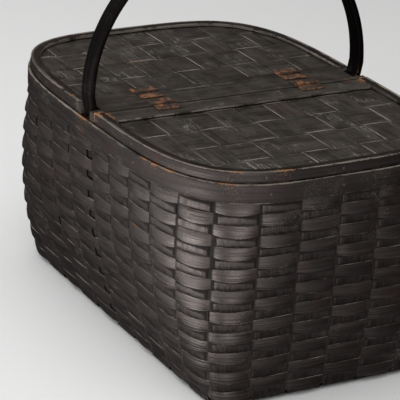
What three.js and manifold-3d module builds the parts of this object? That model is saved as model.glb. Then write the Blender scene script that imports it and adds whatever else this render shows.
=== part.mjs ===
// A splint picnic basket with two hinged lids and a bentwood handle.
// Millimetres, +Z up. X runs along the basket and Y across it. The origin is on the
// floor, under the middle of the basket.
import * as THREE from "three";
import { mergeVertices } from "three/addons/utils/BufferGeometryUtils.js";
import Module from "manifold-3d";

// ---------------------------------------------------------------- driving dimensions
const LENGTH = 432; // over the outer rim, along X
const WIDTH = 300; // over the outer rim, along Y
const RIM_TOP = 214; // height of the rim's top edge
const RIM_HEIGHT = 18;
const OUTER_RIM_THICK = 3.5;
const INNER_RIM_THICK = 3;
const BASE_HALF_LENGTH = 200; // middle of the wall where it leaves the floor
const BASE_HALF_WIDTH = 111;
const BASE_SQUARENESS = 16; // superellipse powers: a higher one is a squarer corner
const TOP_SQUARENESS = 3.8;
const WALL_START = 7; // height where the bent stakes become the wall
const WALL_SWELL = 2.2; // how fast the wall flares before it runs straight up
const CLEAR = 0.3; // air between neighbouring pieces

const STAKE_THICK = 1.5;
const STAKES_LONG_SIDE = 10;
const STAKES_END = 6;
const STAKE_HALF = 0.4625; // half a stake's width, in stake pitches
const CORNER_TRIM = 0.08; // from a corner of the floor to the nearest stake, in stake pitches
const WIDE_GAP = [5.1, 5.35]; // one gap in the front side is wider, in stake pitches
const FLOOR_PITCH_X = 38; // pitch of the stakes where they cross under the floor
const FLOOR_PITCH_Y = 35.4;
const FLOOR_GAP = 3;

const WEAVER_ROWS = 19;
const WEAVER_THICK = 1.5;

const BRIDGE_X = -2; // middle of the fixed board and of the handle
const HANDLE_WIDE = 18;
const HANDLE_THICK = 7;
const TAIL_THICK = 2.5;
const TAIL_FOOT = 142; // height where the handle's tails end, inside the wall
const TAIL_BEND = 168;
const ARCH_RADIUS = 147.5; // outer face of the handle's arch
const ARCH_RISE = 22; // the arch's middle, above the rim

const BOARD_WIDE = 33;
const BOARD_HALF_LENGTH = 146.5;
const LID_GAP = 0.6; // from a hinge's axis to the board on one side and the lid on the other
const HOOP_THICK = 3.2;
const HOOP_HEIGHT = 10;
const HOOP_SEAT = 0.5; // air between the closed lid's hoop and the rim
const BINDING_WIDE = 6; // inner hoop, which binds the edge of the woven panel
const PANEL_Z = [4, 6.5]; // bottom and top of the woven panel, above the rim
const RAIL_TOP = 9.3;
const NEAR_RAIL_WIDE = 24;
const FAR_RAIL_WIDE = 10;

const HINGE_Y = [79, -75];
const LEAF_LONG = 24; // along the hinge's axis
const LEAF_WIDE = 12;
const LEAF_THICK = 1;
const KNUCKLE_RADIUS = 1.8;
const BORE_RADIUS = 1.05;
const PIN_RADIUS = 0.75;

// ------------------------------------------------------------------ derived dimensions
const WALL_TOP = RIM_TOP - RIM_HEIGHT;
const ROW_PITCH = (WALL_TOP - WALL_START) / WEAVER_ROWS;
const TOP_HALF_LENGTH = LENGTH / 2 - OUTER_RIM_THICK - CLEAR - STAKE_THICK / 2;
const TOP_HALF_WIDTH = WIDTH / 2 - OUTER_RIM_THICK - CLEAR - STAKE_THICK / 2;
const QUARTER_STAKES = (STAKES_LONG_SIDE + STAKES_END) / 2;
const STAKES = 2 * (STAKES_LONG_SIDE + STAKES_END);
const WEAVER_OFFSET = STAKE_THICK / 2 + CLEAR + WEAVER_THICK / 2;
const RIM_INNER = STAKE_THICK / 2 + CLEAR; // from the middle of the wall to either rim
const TAIL_OUTER = WEAVER_OFFSET + WEAVER_THICK / 2 + CLEAR;
const LID_TOP = HOOP_SEAT + HOOP_HEIGHT;
const HOOP_OUTER = OUTER_RIM_THICK + RIM_INNER - 3.5; // lid hoop's face, from the wall's middle
const BINDING_OUTER = HOOP_OUTER - HOOP_THICK - CLEAR;
const AXIS_Z = RIM_TOP + RAIL_TOP + CLEAR + KNUCKLE_RADIUS;
const AXIS_REACH = BOARD_WIDE / 2 + LID_GAP;

const finish = (colour, roughness, metalness = 0) => () =>
  new THREE.MeshStandardMaterial({ color: colour, roughness, metalness });
const stakeFinish = finish(0x3b332e, 0.5);
const weaverFinish = finish(0x453b37, 0.48);
const rimFinish = finish(0x4a403d, 0.42);
const handleFinish = finish(0x2a2521, 0.45);
const boardFinish = finish(0x4a4741, 0.55);
const lidFinish = finish(0x4c4a43, 0.58);
const rustFinish = finish(0x7a4226, 0.8, 0.3);

// ------------------------------------------------------------------------ solid makers
// A solid through equal rings of points. An open one is capped, a closed one meets itself.
function sweep(rings, closed = false) {
  const size = rings[0].length;
  const index = [];
  const spans = closed ? rings.length : rings.length - 1;
  for (let i = 0; i < spans; i++) {
    const a = i * size;
    const b = ((i + 1) % rings.length) * size;
    for (let j = 0; j < size; j++) {
      const k = (j + 1) % size;
      index.push(a + j, b + j, b + k, a + j, b + k, a + k);
    }
  }
  if (!closed) {
    const last = (rings.length - 1) * size;
    for (let j = 1; j < size - 1; j++) {
      index.push(0, j, j + 1, last, last + j + 1, last + j);
    }
  }
  const points = rings.flat();
  const geometry = new THREE.BufferGeometry().setFromPoints(points);
  if (signedVolume(points, index) < 0) index.reverse();
  geometry.setIndex(index);
  geometry.computeVertexNormals();
  return geometry;
}

function signedVolume(points, index) {
  let sum = 0;
  const cross = new THREE.Vector3();
  for (let i = 0; i < index.length; i += 3) {
    cross.crossVectors(points[index[i + 1]], points[index[i + 2]]);
    sum += cross.dot(points[index[i]]);
  }
  return sum;
}

function piece(name, geometry, makeFinish) {
  const mesh = new THREE.Mesh(geometry, makeFinish());
  mesh.name = name;
  return mesh;
}

const numbered = (stem, i) => stem + String(i + 1).padStart(2, "0");

// --------------------------------------------------------------------- the wall's shape
// The outline is a superellipse: squarish at the floor and round-cornered at the rim.
function outlineAt(z) {
  const t = THREE.MathUtils.clamp((z - WALL_START) / (WALL_TOP - WALL_START), 0, 1);
  const flare = 1 - (1 - t) ** WALL_SWELL;
  const mix = THREE.MathUtils.lerp;
  return {
    a: mix(BASE_HALF_LENGTH, TOP_HALF_LENGTH, flare),
    b: mix(BASE_HALF_WIDTH, TOP_HALF_WIDTH, flare),
    n: 1 / mix(1 / BASE_SQUARENESS, 1 / TOP_SQUARENESS, t),
  };
}

// A quarter of an outline from the middle of a long side to the middle of an end, as
// points with the length of wall passed so far.
function quarterTable({ a, b, n }) {
  const steps = 600;
  const table = [];
  let length = 0;
  for (let i = 0; i <= steps; i++) {
    const angle = (i / steps) * (Math.PI / 2);
    const x = a * Math.sin(angle) ** (2 / n);
    const y = b * Math.cos(angle) ** (2 / n);
    if (i) length += Math.hypot(x - table[i - 1].x, y - table[i - 1].y);
    table.push({ x, y, length });
  }
  return table;
}

// Levels of the wall, two weaver rows apart. Between levels the wall runs straight.
const LEVELS = [];
for (let row = 0; row < WEAVER_ROWS; row += 2) LEVELS.push(WALL_START + row * ROW_PITCH);
LEVELS.push(WALL_TOP, RIM_TOP - CLEAR);
const OUTLINES = LEVELS.map((z) => {
  const shape = outlineAt(z);
  return { ...shape, z, table: quarterTable(shape) };
});

// Point and outward direction at a fraction of a quarter of one level's outline.
function onQuarter(outline, fraction) {
  const { a, b, n, table } = outline;
  const wanted = THREE.MathUtils.clamp(fraction, 0, 1) * table.at(-1).length;
  let hi = table.findIndex((entry) => entry.length >= wanted);
  hi = Math.max(hi, 1);
  const lo = hi - 1;
  const t = (wanted - table[lo].length) / (table[hi].length - table[lo].length);
  const x = THREE.MathUtils.lerp(table[lo].x, table[hi].x, t);
  const y = THREE.MathUtils.lerp(table[lo].y, table[hi].y, t);
  const out = new THREE.Vector2((x / a) ** (n - 1) / a, (y / b) ** (n - 1) / b).normalize();
  return { x, y, out };
}

// The perimeter is measured in stake pitches, from the front left corner of the floor:
// 0 to 10 along the front (-Y), 10 to 16 up the right end, 16 to 26 along the back.
function onOutline(outline, pitch, offset) {
  const turned = (((pitch - STAKES_LONG_SIDE / 2) % STAKES) + STAKES) % STAKES;
  const quarter = Math.floor(turned / QUARTER_STAKES);
  const part = turned / QUARTER_STAKES - quarter;
  const { x, y, out } = onQuarter(outline, quarter % 2 ? 1 - part : part);
  const signX = quarter < 2 ? 1 : -1;
  const signY = quarter === 0 || quarter === 3 ? -1 : 1;
  return new THREE.Vector3(signX * (x + out.x * offset), signY * (y + out.y * offset), outline.z);
}

function onWall(pitch, z, offset) {
  let i = LEVELS.findIndex((level) => level >= z - 1e-6);
  i = THREE.MathUtils.clamp(i < 0 ? LEVELS.length - 1 : i, 1, LEVELS.length - 1);
  const low = onOutline(OUTLINES[i - 1], pitch, offset);
  const high = onOutline(OUTLINES[i], pitch, offset);
  const point = low.lerp(high, (z - LEVELS[i - 1]) / (LEVELS[i] - LEVELS[i - 1]));
  point.z = z;
  return point;
}

// The two edges of an upright, in stake pitches.
function stakeEdges(i) {
  const front = STAKES_LONG_SIDE / 2;
  const halfGap = 0.5 - STAKE_HALF;
  if (i < front) {
    const pitch = (WIDE_GAP[0] + halfGap) / front;
    return [(i + 0.5) * pitch - STAKE_HALF, (i + 0.5) * pitch + STAKE_HALF];
  }
  if (i < STAKES_LONG_SIDE) {
    const start = WIDE_GAP[1] - halfGap / 2;
    const pitch = (STAKES_LONG_SIDE - start) / front;
    const middle = start + (i - front + 0.5) * pitch;
    return [middle - pitch / 2 + halfGap / 2, middle + pitch / 2 - halfGap];
  }
  return [i + 0.5 - STAKE_HALF, i + 0.5 + STAKE_HALF];
}

// At a corner both stakes are trimmed narrower, so that the weavers can turn between them.
const CORNERS = [0, STAKES_LONG_SIDE, STAKES / 2, STAKES / 2 + STAKES_LONG_SIDE];
const STAKE_EDGES = Array.from({ length: STAKES }, (_, i) => {
  const [a, b] = stakeEdges(i);
  const next = (i + 1) % STAKES;
  return [CORNERS.includes(i) ? i + CORNER_TRIM : a, CORNERS.includes(next) ? i + 1 - CORNER_TRIM : b];
});

// A splint is flat across its width, so both edges of upright i are offset square to it.
function onStake(i, edge, z, offset) {
  const ends = STAKE_EDGES[i].map((pitch) => onWall(pitch, z, 0));
  const across = ends[1].clone().sub(ends[0]).normalize();
  return ends[edge].add(new THREE.Vector3(across.y, -across.x, 0).multiplyScalar(offset));
}

// ------------------------------------------------------------------------------ stakes
// A stake is one splint: down one wall, across the floor and up the opposite wall.
// first is the edge, 0 or 1, that the ring starts from.
function wallRing(i, first, z) {
  const half = STAKE_THICK / 2;
  return [
    onStake(i, first, z, half),
    onStake(i, 1 - first, z, half),
    onStake(i, 1 - first, z, -half),
    onStake(i, first, z, -half),
  ];
}

// A ring of the bend between a floor end and the foot of the wall, a part of the way round.
function bendRing(floorRing, footRing, part) {
  return floorRing.map((floor, i) => {
    const foot = footRing[i];
    const corner = new THREE.Vector3(foot.x, foot.y, floor.z);
    return new THREE.QuadraticBezierCurve3(floor, corner, foot).getPoint(part);
  });
}

// One level of floor: which of two heights a stake has where it meets a crossing stake.
const floorHeight = (up) => (up ? STAKE_THICK + CLEAR : 0);

// along: the axis the stake runs on; a, b: its two edges across that axis.
function floorRings(along, [a, b], crossings, pitch, parity) {
  const rings = [];
  const end = (crossings * pitch) / 2;
  const addRing = (distance, z) => {
    const place = (across, height) =>
      along === "y"
        ? new THREE.Vector3(across, distance, height)
        : new THREE.Vector3(distance, across, height);
    const top = z + STAKE_THICK;
    rings.push([place(a, z), place(b, z), place(b, top), place(a, top)]);
  };
  for (let i = 0; i < crossings; i++) {
    const z = floorHeight((i + parity) % 2 === 0);
    const start = i * pitch - end;
    addRing(i ? start + FLOOR_GAP / 2 : start, z);
    addRing(i < crossings - 1 ? start + pitch - FLOOR_GAP / 2 : start + pitch, z);
  }
  return rings;
}

// A corner stake twists as it climbs, so it has a ring at every row of the weave.
function stakeGeometry(start, end, floor, atCorner) {
  const rows = Array.from({ length: WEAVER_ROWS }, (_, row) => WALL_START + row * ROW_PITCH);
  const levels = atCorner ? [...rows, ...LEVELS.slice(-2)] : LEVELS;
  const down = levels.toReversed().map((z) => wallRing(start.upright, start.first, z));
  const up = levels.map((z) => wallRing(end.upright, end.first, z));
  const bends = [0.35, 0.7];
  const foot = bends.map((part) => bendRing(floor[0], down.at(-1), part)).reverse();
  const lift = bends.map((part) => bendRing(floor.at(-1), up[0], part));
  return sweep([...down, ...foot, ...floor, ...lift, ...up]);
}

function makeStakes(group) {
  const halfX = (STAKES_LONG_SIDE * FLOOR_PITCH_X) / 2;
  const halfY = (STAKES_END * FLOOR_PITCH_Y) / 2;
  const across = (i, pitch, half) => [
    i * pitch - half + FLOOR_GAP / 2,
    (i + 1) * pitch - half - FLOOR_GAP / 2,
  ];
  for (let i = 0; i < STAKES_LONG_SIDE; i++) {
    const front = { upright: i, first: 0 };
    const back = { upright: 2 * STAKES_LONG_SIDE + STAKES_END - 1 - i, first: 1 };
    const edges = across(i, FLOOR_PITCH_X, halfX);
    const floor = floorRings("y", edges, STAKES_END, FLOOR_PITCH_Y, i % 2);
    const atCorner = i === 0 || i === STAKES_LONG_SIDE - 1;
    const geometry = stakeGeometry(front, back, floor, atCorner);
    group.add(piece(numbered("cross_stake_", i), geometry, stakeFinish));
  }
  for (let j = 0; j < STAKES_END; j++) {
    const left = { upright: STAKES - 1 - j, first: 0 };
    const right = { upright: STAKES_LONG_SIDE + j, first: 1 };
    const edges = across(j, FLOOR_PITCH_Y, halfY).toReversed();
    const floor = floorRings("x", edges, STAKES_LONG_SIDE, FLOOR_PITCH_X, (j + 1) % 2);
    const atCorner = j === 0 || j === STAKES_END - 1;
    const geometry = stakeGeometry(left, right, floor, atCorner);
    group.add(piece(numbered("long_stake_", j), geometry, stakeFinish));
  }
}

// ----------------------------------------------------------------------------- weavers
// A weaver is one row: a closed ring that passes outside one upright and inside the next.
function makeWeavers(group) {
  const half = WEAVER_THICK / 2;
  for (let row = 0; row < WEAVER_ROWS; row++) {
    const low = WALL_START + row * ROW_PITCH + CLEAR / 2;
    const high = low + ROW_PITCH - CLEAR;
    const rings = STAKE_EDGES.flatMap((edges, i) => {
      const middle = (i + row) % 2 ? -WEAVER_OFFSET : WEAVER_OFFSET;
      return edges.map((_, edge) => [
        onStake(i, edge, low, middle + half),
        onStake(i, edge, high, middle + half),
        onStake(i, edge, high, middle - half),
        onStake(i, edge, low, middle - half),
      ]);
    });
    group.add(piece(numbered("weaver_", row), sweep(rings, true), weaverFinish));
  }
}

// -------------------------------------------------------------------------------- rims
// at(z, offset) gives a point of the rim's path.
function rimRing(at, near, far) {
  return [
    at(WALL_TOP + CLEAR, near),
    at(RIM_TOP, near),
    at(RIM_TOP, far),
    at(WALL_TOP + CLEAR, far),
  ];
}

// Pitch positions either side of a handle tail, where the inner rim steps in round it.
function tailSteps(side) {
  const pitchPerMm = QUARTER_STAKES / OUTLINES.at(-1).table.at(-1).length;
  const middle = side < 0 ? STAKES_LONG_SIDE / 2 : STAKES / 2 + STAKES_LONG_SIDE / 2;
  const at = (x) => middle - side * x * pitchPerMm;
  const reach = HANDLE_WIDE / 2 + 1;
  const steps = [
    { pitch: at(BRIDGE_X - reach - 6), bulge: 0 },
    { pitch: at(BRIDGE_X - reach), bulge: 1 },
    { pitch: at(BRIDGE_X + reach), bulge: 1 },
    { pitch: at(BRIDGE_X + reach + 6), bulge: 0 },
  ];
  return steps.sort((p, q) => p.pitch - q.pitch);
}

function makeRims(group) {
  const stations = STAKE_EDGES.flatMap((edges, i) =>
    edges.map((pitch, edge) => ({ pitch, bulge: 0, at: (z, d) => onStake(i, edge, z, d) })),
  );
  const outer = stations.map(({ at }) => rimRing(at, RIM_INNER, RIM_INNER + OUTER_RIM_THICK));
  group.add(piece("outer_rim", sweep(outer, true), rimFinish));

  const steps = [...tailSteps(-1), ...tailSteps(1)].map((step) => ({
    ...step,
    at: (z, d) => onWall(step.pitch, z, d),
  }));
  const covered = (p) =>
    [0, 4].some((i) => p > steps[i].pitch - 0.1 && p < steps[i + 3].pitch + 0.1);
  const inner = stations
    .filter(({ pitch }) => !covered(pitch))
    .concat(steps)
    .sort((p, q) => p.pitch - q.pitch)
    .map(({ at, bulge }) => {
      const near = RIM_INNER + bulge * (TAIL_OUTER + TAIL_THICK + CLEAR - RIM_INNER);
      return rimRing(at, -near, -near - INNER_RIM_THICK);
    });
  group.add(piece("inner_rim", sweep(inner, true), rimFinish));
}

// ------------------------------------------------------------------------------ handle
// A steamed band: thin tails inside the wall, legs that bow out a little, and an arch.
function handleGeometry() {
  const rings = [];
  const addRing = (y, z, tilt, thick) => {
    const inwardY = -Math.cos(tilt) * Math.sign(y || 1);
    const inwardZ = -Math.sin(tilt);
    const outer = (x) => new THREE.Vector3(x, y, z);
    const inner = (x) => new THREE.Vector3(x, y + inwardY * thick, z + inwardZ * thick);
    const left = BRIDGE_X - HANDLE_WIDE / 2;
    const right = BRIDGE_X + HANDLE_WIDE / 2;
    rings.push([outer(left), outer(right), inner(right), inner(left)]);
  };
  const tailY = (z) => Math.abs(onWall(STAKES_LONG_SIDE / 2, z, 0).y) - TAIL_OUTER;
  const legs = [
    { y: tailY(TAIL_FOOT), z: TAIL_FOOT, thick: TAIL_THICK },
    { y: tailY(TAIL_BEND), z: TAIL_BEND, thick: TAIL_THICK },
    { y: tailY(WALL_TOP), z: WALL_TOP, thick: TAIL_THICK },
    { y: tailY(RIM_TOP), z: RIM_TOP + CLEAR, thick: TAIL_THICK },
    { y: tailY(RIM_TOP) + 0.8, z: RIM_TOP + 4, thick: HANDLE_THICK },
    { y: tailY(RIM_TOP) + 3, z: RIM_TOP + 12, thick: HANDLE_THICK },
  ];
  legs.forEach(({ y, z, thick }) => addRing(-y, z, 0, thick));
  const steps = 24;
  for (let i = 0; i <= steps; i++) {
    const angle = (i / steps) * Math.PI;
    const y = -ARCH_RADIUS * Math.cos(angle);
    const z = RIM_TOP + ARCH_RISE + ARCH_RADIUS * Math.sin(angle);
    addRing(y, z, angle < Math.PI / 2 ? angle : Math.PI - angle, HANDLE_THICK);
  }
  legs.toReversed().forEach(({ y, z, thick }) => addRing(y, z, 0, thick));
  return sweep(rings);
}

// ------------------------------------------------------------------------ centre board
// Fixed across the rim, with a notch at each end for the handle's leg.
function boardGeometry() {
  const left = BRIDGE_X - BOARD_WIDE / 2;
  const right = BRIDGE_X + BOARD_WIDE / 2;
  const notchLeft = BRIDGE_X - HANDLE_WIDE / 2 - 0.5;
  const notchRight = BRIDGE_X + HANDLE_WIDE / 2 + 0.5;
  const notchY = TOP_HALF_WIDTH - TAIL_OUTER - HANDLE_THICK - 0.7;
  const end = BOARD_HALF_LENGTH;
  const outline = [
    [left, -end], [notchLeft, -end], [notchLeft, -notchY], [notchRight, -notchY],
    [notchRight, -end], [right, -end], [right, end], [notchRight, end],
    [notchRight, notchY], [notchLeft, notchY], [notchLeft, end], [left, end],
  ];
  return slab(outline, RIM_TOP + CLEAR, RIM_TOP + RAIL_TOP);
}

function slab(outline, bottom, top) {
  const shape = new THREE.Shape(outline.map(([x, y]) => new THREE.Vector2(x, y)));
  const geometry = new THREE.ExtrudeGeometry(shape, { depth: top - bottom, bevelEnabled: false });
  return geometry.translate(0, 0, bottom);
}

// -------------------------------------------------------------------------------- lids
// The D-shaped edge of a lid at an offset from the middle of the wall, from the front leg
// of the D round the end to its back leg. side is +1 for the lid over the right end.
function lidEdge(side, startX, offset) {
  const outline = OUTLINES.at(-1);
  const front = [];
  const steps = 18;
  for (let i = 0; i <= steps; i++) {
    const { x, y, out } = onQuarter(outline, i / steps);
    front.push([x + out.x * offset, y + out.y * offset]);
  }
  const reach = side * startX;
  const kept = front.filter(([x]) => x > reach + 2);
  const [firstX, firstY] = kept[0];
  const before = front[front.length - kept.length - 1] ?? [0, outline.b + offset];
  const t = reach > before[0] ? (reach - before[0]) / (firstX - before[0]) : 0;
  const legY = THREE.MathUtils.lerp(before[1], firstY, t);
  const half = [[reach, legY], ...kept];
  const backHalf = half.slice(0, -1).reverse();
  return [
    ...half.map(([x, y]) => [side * x, -y]),
    ...backHalf.map(([x, y]) => [side * x, y]),
  ];
}

function hoopGeometry(side, startX, outerOffset, thick, bottom, top) {
  const outer = lidEdge(side, startX, outerOffset);
  const inner = lidEdge(side, startX, outerOffset - thick);
  const rings = outer.map(([x, y], i) => [
    new THREE.Vector3(x, y, bottom),
    new THREE.Vector3(x, y, top),
    new THREE.Vector3(inner[i][0], inner[i][1], top),
    new THREE.Vector3(inner[i][0], inner[i][1], bottom),
  ]);
  return sweep(rings);
}

function makeLid(name, side, railWide) {
  const lid = new THREE.Group();
  const startX = BRIDGE_X + side * (AXIS_REACH + LID_GAP);
  const panelTop = RIM_TOP + PANEL_Z[1];
  const hoopBottom = RIM_TOP + HOOP_SEAT;
  const hoopTop = RIM_TOP + LID_TOP;
  const hoop = hoopGeometry(side, startX, HOOP_OUTER, HOOP_THICK, hoopBottom, hoopTop);
  lid.add(piece(name + "_outer_hoop", hoop, rimFinish));

  const binding = hoopGeometry(
    side, startX, BINDING_OUTER, BINDING_WIDE, panelTop + CLEAR, hoopTop,
  );
  lid.add(piece(name + "_binding", binding, rimFinish));

  const panel = slab(lidEdge(side, startX, BINDING_OUTER), RIM_TOP + PANEL_Z[0], panelTop);
  lid.add(piece(name + "_panel", panel, lidFinish));

  const railEnd = onWall(STAKES_LONG_SIDE / 2, RIM_TOP, BINDING_OUTER - BINDING_WIDE - CLEAR);
  const halfRail = Math.abs(railEnd.y) - 0.4;
  const railFar = startX + side * railWide;
  const rail = slab(
    [[startX, -halfRail], [railFar, -halfRail], [railFar, halfRail], [startX, halfRail]],
    panelTop + CLEAR,
    RIM_TOP + RAIL_TOP,
  );
  lid.add(piece(name + "_rail", rail, boardFinish));
  return lid;
}

// ------------------------------------------------------------------------------ hinges
const wasm = await Module();
wasm.setup();

function toSolid(geometry) {
  const bare = geometry.clone();
  bare.deleteAttribute("normal");
  bare.deleteAttribute("uv");
  const merged = mergeVertices(bare, 1e-4);
  return new wasm.Manifold(
    new wasm.Mesh({
      numProp: 3,
      vertProperties: merged.attributes.position.array,
      triVerts: new Uint32Array(merged.index.array),
    }),
  );
}

function toGeometry(solid) {
  const { vertProperties, triVerts } = solid.getMesh();
  const geometry = new THREE.BufferGeometry();
  geometry.setAttribute("position", new THREE.BufferAttribute(vertProperties, 3));
  geometry.setIndex(new THREE.BufferAttribute(triVerts, 1));
  geometry.computeVertexNormals();
  return geometry;
}

// A rod along Y between two stations, about the hinge's axis at x = 0, z = 0.
function rod(radius, from, to) {
  const sides = 8;
  const cylinder = new THREE.CylinderGeometry(radius, radius, to - from, sides);
  return cylinder.translate(0, (from + to) / 2, 0);
}

// A leaf lies flat on the wood beside the axis, and its rolled knuckles hold the pin.
function leafGeometry(side, knuckles) {
  const plate = new THREE.BoxGeometry(LEAF_WIDE, LEAF_LONG, LEAF_THICK);
  plate.translate(side * (LEAF_WIDE / 2 + KNUCKLE_RADIUS + CLEAR), 0, LEAF_THICK / 2 - KNUCKLE_RADIUS);
  let leaf = toSolid(plate);
  for (const [from, to] of knuckles) {
    const reach = KNUCKLE_RADIUS + CLEAR + 1;
    const tongue = new THREE.BoxGeometry(reach, to - from, LEAF_THICK);
    tongue.translate((side * reach) / 2, (from + to) / 2, LEAF_THICK / 2 - KNUCKLE_RADIUS);
    leaf = leaf.add(toSolid(tongue)).add(toSolid(rod(KNUCKLE_RADIUS, from, to)));
  }
  return toGeometry(leaf.subtract(toSolid(rod(BORE_RADIUS, -LEAF_LONG, LEAF_LONG))));
}

function makeHinge(name, side, y) {
  const hinge = new THREE.Group();
  const half = LEAF_LONG / 2;
  const split = LEAF_LONG / 6;
  const outerKnuckles = [[-half, -split - CLEAR / 2], [split + CLEAR / 2, half]];
  const middleKnuckle = [[-split + CLEAR / 2, split - CLEAR / 2]];
  hinge.position.set(BRIDGE_X + side * AXIS_REACH, y, AXIS_Z);
  hinge.add(piece(name + "_board_leaf", leafGeometry(-side, outerKnuckles), rustFinish));
  hinge.add(piece(name + "_lid_leaf", leafGeometry(side, middleKnuckle), rustFinish));
  hinge.add(piece(name + "_pin", rod(PIN_RADIUS, -half, half), rustFinish));
  return hinge;
}

// ---------------------------------------------------------------------------- assembly
const basket = new THREE.Group();
makeStakes(basket);
makeWeavers(basket);
makeRims(basket);
basket.add(piece("handle", handleGeometry(), handleFinish));
basket.add(piece("centre_board", boardGeometry(), boardFinish));
basket.add(makeLid("near_lid", 1, NEAR_RAIL_WIDE));
basket.add(makeLid("far_lid", -1, FAR_RAIL_WIDE));
HINGE_Y.forEach((y, i) => {
  basket.add(makeHinge(numbered("near_hinge_", i), 1, y));
  basket.add(makeHinge(numbered("far_hinge_", i), -1, y));
});

export default basket;
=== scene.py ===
"""Looks of a splint picnic basket with two hinged lids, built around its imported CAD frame.

Every piece is shaped in millimetres in the frame's own axes and turned into metres when
its mesh is made. The basket is 0 at the middle of its base, with X along its length.
"""

import math

import bmesh
import bpy
import numpy as np
from bpy.props import FloatProperty, FloatVectorProperty, PointerProperty
from mathutils import Matrix, Vector


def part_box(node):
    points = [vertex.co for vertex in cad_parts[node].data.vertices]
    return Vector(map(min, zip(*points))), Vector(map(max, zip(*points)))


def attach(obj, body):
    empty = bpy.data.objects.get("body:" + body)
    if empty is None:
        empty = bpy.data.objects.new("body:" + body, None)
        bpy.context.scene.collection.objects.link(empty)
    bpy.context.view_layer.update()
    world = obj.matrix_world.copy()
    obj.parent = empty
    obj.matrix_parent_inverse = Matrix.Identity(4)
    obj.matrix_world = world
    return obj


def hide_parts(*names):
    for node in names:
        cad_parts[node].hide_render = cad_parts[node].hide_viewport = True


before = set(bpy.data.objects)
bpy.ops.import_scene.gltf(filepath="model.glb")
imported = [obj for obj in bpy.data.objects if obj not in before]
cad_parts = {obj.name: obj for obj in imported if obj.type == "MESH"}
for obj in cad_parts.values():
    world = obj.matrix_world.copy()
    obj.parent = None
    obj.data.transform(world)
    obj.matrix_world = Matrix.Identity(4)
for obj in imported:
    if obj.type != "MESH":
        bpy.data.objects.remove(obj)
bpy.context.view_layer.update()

bl_info = {
    "name": "Splint picnic basket",
    "version": (1, 0, 0),
    "blender": (4, 5, 0),
    "location": "3D View > Sidebar > Basket",
    "description": "Builds the splints, laths, lids and iron fittings of a picnic basket",
    "category": "Add Mesh",
}

MM = 0.001


def span(node):
    """Lowest and highest corner of a CAD node, in millimetres."""
    low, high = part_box(node)
    return np.array(low) / MM, np.array(high) / MM


# ---- sizes from the frame
RIM_LOW, RIM_HIGH = (corner[2] for corner in span("outer_rim"))
RIM_OUT = (1.05, 4.55)  # the outer rim's faces, from the middle of the wall
TOP_HALF = span("outer_rim")[1][:2] - RIM_OUT[1]
BASE_HALF = np.array([200.0, 111.0])
BASE_SQUARENESS, TOP_SQUARENESS = 16.0, 3.8
WALL_START, WALL_TOP = 7.0, RIM_LOW
WALL_SWELL = 2.2
ROWS = 19
ROW_PITCH = (WALL_TOP - WALL_START) / ROWS
STAKES, LONG_SIDE, END = 32, 10, 6
FLOOR_PITCH = (38.0, 35.4)
LEVELS, FINE = 64, 257
BRIDGE_X = float(np.mean([corner[0] for corner in span("handle")]))
TAIL_OUT, TAIL_THICK, LEG_THICK = 2.85, 2.5, 7.0
WIDE_GAP = 5.2  # the place of the wide gap between two stakes of the front side
STAKE_BOW = 0.75  # how far a stake gives way to each weaver
FLOOR_MIDDLE, FLOOR_SWING = 1.65, 0.82
LID_HALF, LID_SWING = 0.56, 0.6
RIM_NAILS = (
    0.6, 2.6, 4.6, 5.35, 7.5, 9.4, 11.2, 13, 14.9, 16.6, 18.6, 20.6, 21.35, 23.5, 25.4, 27.2, 29,
    30.9,
)
NAIL_SIDES = 12
NAIL_PROFILE = (  # how far out and how high, from the top of the head to the shank's end
    (0.0, 0.55), (0.7, 0.48), (1.2, 0.25), (1.45, 0.0), (1.3, -0.12), (0.6, -0.15),
    (0.55, -0.7), (0.0, -0.75),
)


# ---- the basket wall
def wall_size(t):
    """Half length, half width and squareness of the wall at t, 0 at its foot and 1 at its top."""
    flare = 1 - (1 - t) ** WALL_SWELL
    a = BASE_HALF[0] + (TOP_HALF[0] - BASE_HALF[0]) * flare
    b = BASE_HALF[1] + (TOP_HALF[1] - BASE_HALF[1]) * flare
    n = 1 / (1 / BASE_SQUARENESS + (1 / TOP_SQUARENESS - 1 / BASE_SQUARENESS) * t)
    return a, b, n


def quarter_outline(t):
    """A quarter of the outline at t, from the middle of a long side, evenly along its length."""
    a, b, n = wall_size(t)
    s = np.sin(np.linspace(0, math.pi / 2, FINE)) * 2 ** (-1 / n)
    r = (1 - s**n) ** (1 / n)
    x = np.concatenate([s, r[::-1][1:]]) * a
    y = np.concatenate([r, s[::-1][1:]]) * b
    run = np.concatenate([[0], np.cumsum(np.hypot(np.diff(x), np.diff(y)))])
    even = np.linspace(0, run[-1], FINE)
    return np.interp(even, run, x), np.interp(even, run, y), run[-1]


OUTLINES = [quarter_outline(t) for t in np.linspace(0, 1, LEVELS)]
TABLE = np.array([[o[0], o[1]] for o in OUTLINES])
TOP_PITCH = OUTLINES[-1][2] / (STAKES / 4)


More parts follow.
